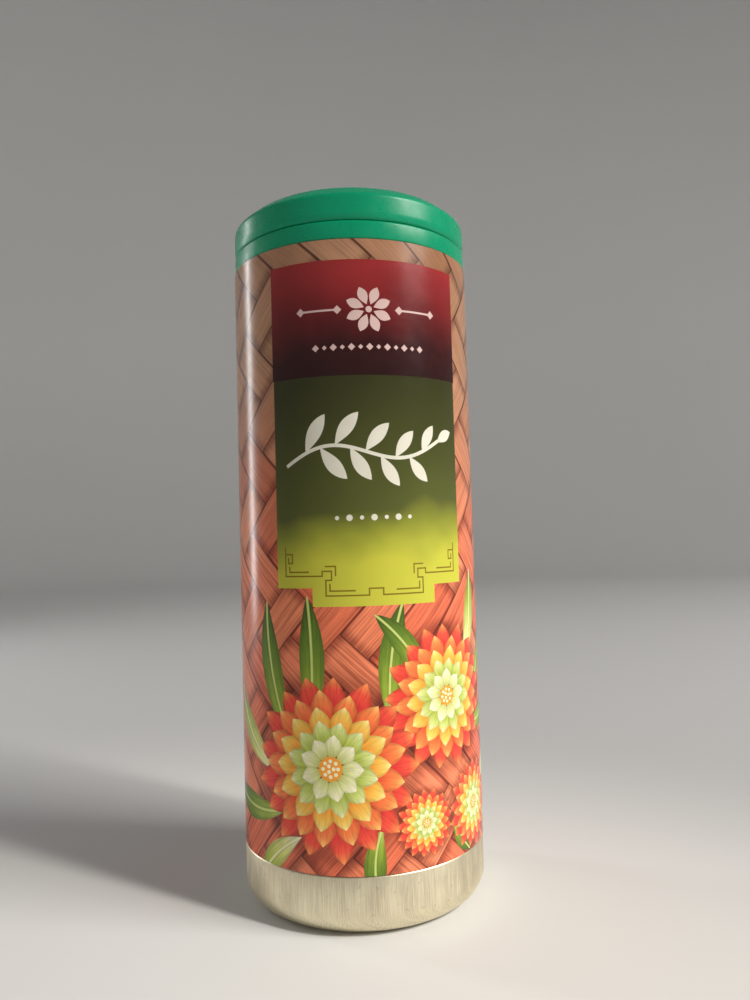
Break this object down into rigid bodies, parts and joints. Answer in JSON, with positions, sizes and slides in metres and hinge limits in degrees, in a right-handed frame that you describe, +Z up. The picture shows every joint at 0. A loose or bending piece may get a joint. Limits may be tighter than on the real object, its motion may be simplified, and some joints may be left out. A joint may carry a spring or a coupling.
{
  "type": "spice shaker can",
  "caption": "Slim round aluminium shaker can for ground spice, with a printed wrap and a green closure whose cap turns between closed, sprinkle and pour.",
  "frame": {"origin": "centre of the foot ring, on the plane the can stands on", "axes": "+Z up along the can's axis, the printed front of the wrap faces -Y, +X to the right as seen from the front"},
  "size_m": [0.045, 0.045, 0.1264],
  "materials": {
    "bare_aluminium": "drawn, satin, fine upright streaks",
    "printed_wrap": "printed in reds, greens and tans, gloss varnish",
    "green_plastic": "moulded, semi-gloss"
  },
  "bodies": {
    "can": {"can_body": "bare_aluminium", "label_wrap": "printed_wrap", "sifter_base": "green_plastic"},
    "cap": {"turning_cap": "green_plastic"}
  },
  "joints": [
    {"name": "cap_turn", "type": "hinge", "parent": "can", "child": "cap", "pos_m": [0, 0, 0.1241], "axis": [0, 0, 1], "range_deg": [-90, 90]}
  ]
}
